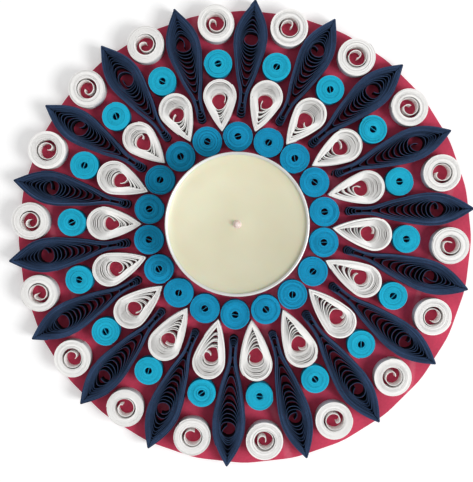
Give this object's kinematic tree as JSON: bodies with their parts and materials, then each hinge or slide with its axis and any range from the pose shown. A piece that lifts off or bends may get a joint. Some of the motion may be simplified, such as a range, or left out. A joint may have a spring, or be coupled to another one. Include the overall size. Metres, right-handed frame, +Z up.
{
  "type": "quilled paper candle holder",
  "caption": "Round card base edged with wound paper strips in rings of coils, teardrops and leaves, around a wax tealight in a metal cup.",
  "frame": {"origin": "centre of the card disc's underside, on the surface that the holder stands on", "axes": "+Z up through the candle, +Y towards the top of the picture, +X to its right"},
  "size_m": [0.127, 0.1275, 0.0182],
  "materials": {
    "crimson_card": "matt coloured card",
    "deep_blue_paper": "matt dyed strip, wound tight",
    "bright_blue_paper": "matt dyed strip, wound tight",
    "white_paper": "matt white strip",
    "navy_paper": "matt dyed strip",
    "cup_metal": "thin drawn sheet",
    "candle_wax": "satin wax",
    "cotton_wick": "waxed cotton"
  },
  "bodies": {
    "root": {"base_disc": "crimson_card", "inner_blue_coils": "deep_blue_paper", "navy_leaf_01": "navy_paper", "navy_leaf_02": "navy_paper", "navy_leaf_03": "navy_paper", "navy_leaf_04": "navy_paper", "navy_leaf_05": "navy_paper", "navy_leaf_06": "navy_paper", "navy_leaf_07": "navy_paper", "navy_leaf_08": "navy_paper", "navy_leaf_09": "navy_paper", "navy_leaf_10": "navy_paper", "navy_leaf_11": "navy_paper", "navy_leaf_12": "navy_paper", "navy_leaf_13": "navy_paper", "navy_leaf_14": "navy_paper", "navy_leaf_15": "navy_paper", "navy_leaf_16": "navy_paper", "navy_leaf_17": "navy_paper", "navy_leaf_18": "navy_paper", "outer_blue_coils": "bright_blue_paper", "tealight_cup": "cup_metal", "tealight_wax": "candle_wax", "tealight_wick": "cotton_wick", "white_rim_coil_01": "white_paper", "white_rim_coil_02": "white_paper", "white_rim_coil_03": "white_paper", "white_rim_coil_04": "white_paper", "white_rim_coil_05": "white_paper", "white_rim_coil_06": "white_paper", "white_rim_coil_07": "white_paper", "white_rim_coil_08": "white_paper", "white_rim_coil_09": "white_paper", "white_rim_coil_10": "white_paper", "white_rim_coil_11": "white_paper", "white_rim_coil_12": "white_paper", "white_rim_coil_13": "white_paper", "white_rim_coil_14": "white_paper", "white_rim_coil_15": "white_paper", "white_rim_coil_16": "white_paper", "white_rim_coil_17": "white_paper", "white_rim_coil_18": "white_paper", "white_teardrop_01": "white_paper", "white_teardrop_02": "white_paper", "white_teardrop_03": "white_paper", "white_teardrop_04": "white_paper", "white_teardrop_05": "white_paper", "white_teardrop_06": "white_paper", "white_teardrop_07": "white_paper", "white_teardrop_08": "white_paper", "white_teardrop_09": "white_paper", "white_teardrop_10": "white_paper", "white_teardrop_11": "white_paper", "white_teardrop_12": "white_paper", "white_teardrop_13": "white_paper", "white_teardrop_14": "white_paper", "white_teardrop_15": "white_paper", "white_teardrop_16": "white_paper", "white_teardrop_17": "white_paper", "white_teardrop_18": "white_paper"}
  },
  "joints": []
}
